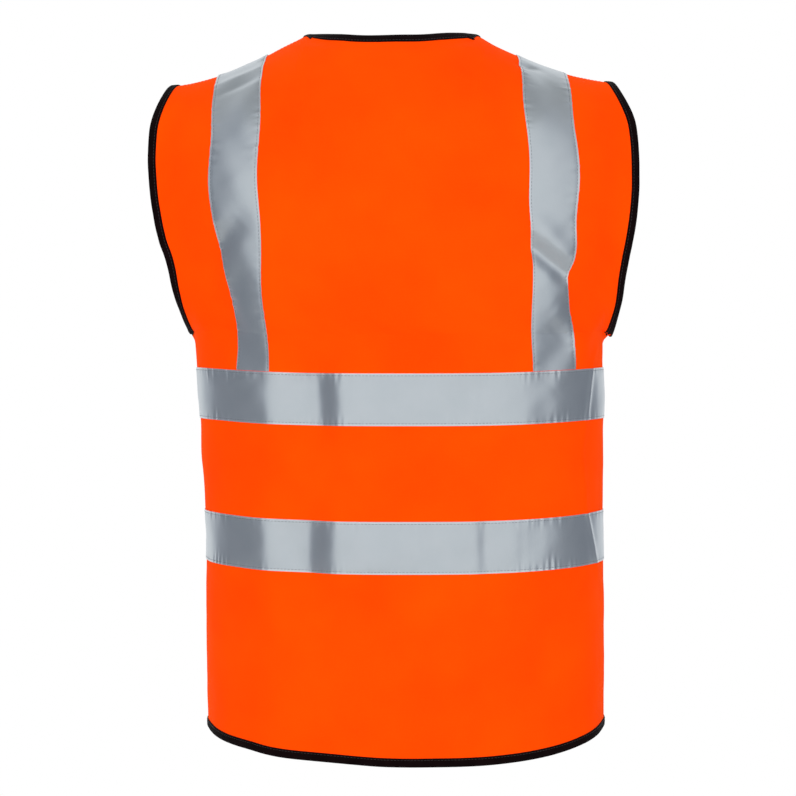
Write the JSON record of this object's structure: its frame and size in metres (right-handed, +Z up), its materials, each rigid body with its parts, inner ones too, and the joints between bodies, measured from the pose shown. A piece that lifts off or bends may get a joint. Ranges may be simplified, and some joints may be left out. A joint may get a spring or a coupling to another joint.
{
  "type": "high visibility vest",
  "caption": "Sleeveless work vest in fluorescent orange fabric with silver retroreflective waist and brace tapes, black binding and a lapped front that opens.",
  "frame": {"origin": "on the ground plane under the lowest point of the hem, midway between the sides and between front and back", "axes": "+Z up, +X to the wearer's left, -Y the way the wearer faces"},
  "size_m": [0.4922, 0.2857, 0.716],
  "materials": {
    "orange_fabric": "matt fluorescent polyester knit",
    "reflective_tape": "silver glass-bead retroreflective",
    "black_binding": "matt woven binding",
    "hook_tape": "woven nylon hooks",
    "loop_tape": "brushed nylon loops",
    "label_cloth": "satin label cloth"
  },
  "bodies": {
    "back": {"back_panel": "orange_fabric", "back_lower_waist_tape": "reflective_tape", "back_upper_waist_tape": "reflective_tape", "back_left_brace_tape": "reflective_tape", "back_right_brace_tape": "reflective_tape", "back_neck_binding": "black_binding", "back_left_armhole_binding": "black_binding", "back_right_armhole_binding": "black_binding", "back_hem_binding": "black_binding", "size_label": "label_cloth", "care_label": "label_cloth"},
    "front_left": {"front_left_panel": "orange_fabric", "front_left_lower_waist_tape": "reflective_tape", "front_left_upper_waist_tape": "reflective_tape", "front_left_brace_tape": "reflective_tape", "front_left_edge_binding": "black_binding", "front_left_armhole_binding": "black_binding", "front_left_hem_binding": "black_binding", "loop_patch_1": "loop_tape", "loop_patch_2": "loop_tape", "loop_patch_3": "loop_tape", "loop_patch_4": "loop_tape"},
    "front_right": {"front_right_panel": "orange_fabric", "front_right_lower_waist_tape": "reflective_tape", "front_right_upper_waist_tape": "reflective_tape", "front_right_brace_tape": "reflective_tape", "front_right_edge_binding": "black_binding", "front_right_armhole_binding": "black_binding", "front_right_hem_binding": "black_binding", "hook_patch_1": "hook_tape", "hook_patch_2": "hook_tape", "hook_patch_3": "hook_tape", "hook_patch_4": "hook_tape"}
  },
  "joints": [
    {"name": "front_left_swing", "type": "hinge", "parent": "back", "child": "front_left", "pos_m": [0.226, 0, 0.35], "axis": [0, 0, 1], "range_deg": [0, 36]},
    {"name": "front_right_swing", "type": "hinge", "parent": "back", "child": "front_right", "pos_m": [-0.226, 0, 0.35], "axis": [0, 0, 1], "range_deg": [-27, 0]}
  ],
  "couplings": [
    {"joint": "front_right_swing", "follows": "front_left_swing", "ratio": -0.75}
  ]
}
